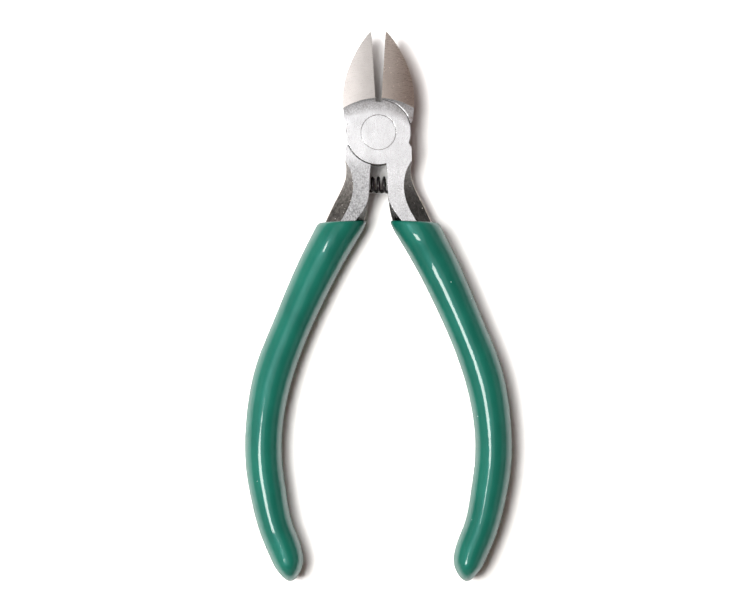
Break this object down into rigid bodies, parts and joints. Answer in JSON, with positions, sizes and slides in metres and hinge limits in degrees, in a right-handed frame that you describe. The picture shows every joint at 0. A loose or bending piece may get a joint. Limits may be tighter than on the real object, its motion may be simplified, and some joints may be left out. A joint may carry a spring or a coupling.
{
  "type": "sprue nippers",
  "caption": "Small flush-cutting side nippers with a riveted lap joint, a coil return spring and dipped green grips.",
  "frame": {"origin": "on the pivot axis, at the joint's rear face", "axes": "+Z along the pivot axis towards the flush-cutting front face; +Y towards the jaw tips; handles towards -Y; +X towards the front half's handle"},
  "size_m": [0.056, 0.1151, 0.0094],
  "materials": {
    "forged_steel": "ground and satin brushed on the faces, dark forging skin on the shank sides",
    "rivet_steel": "ground flush with the joint",
    "spring_steel": "black oxide",
    "grip_vinyl": "glossy dip-moulded vinyl"
  },
  "bodies": {
    "front_half": {"front_half": "forged_steel", "pivot_rivet": "rivet_steel", "return_spring": "spring_steel", "right_grip": "grip_vinyl"},
    "rear_half": {"rear_half": "forged_steel", "left_grip": "grip_vinyl"}
  },
  "joints": [
    {"name": "pivot", "type": "hinge", "parent": "front_half", "child": "rear_half", "pos_m": [0, 0, 0.0038], "axis": [0, 0, 1], "range_deg": [-15, 8], "deforming": ["return_spring"]}
  ]
}
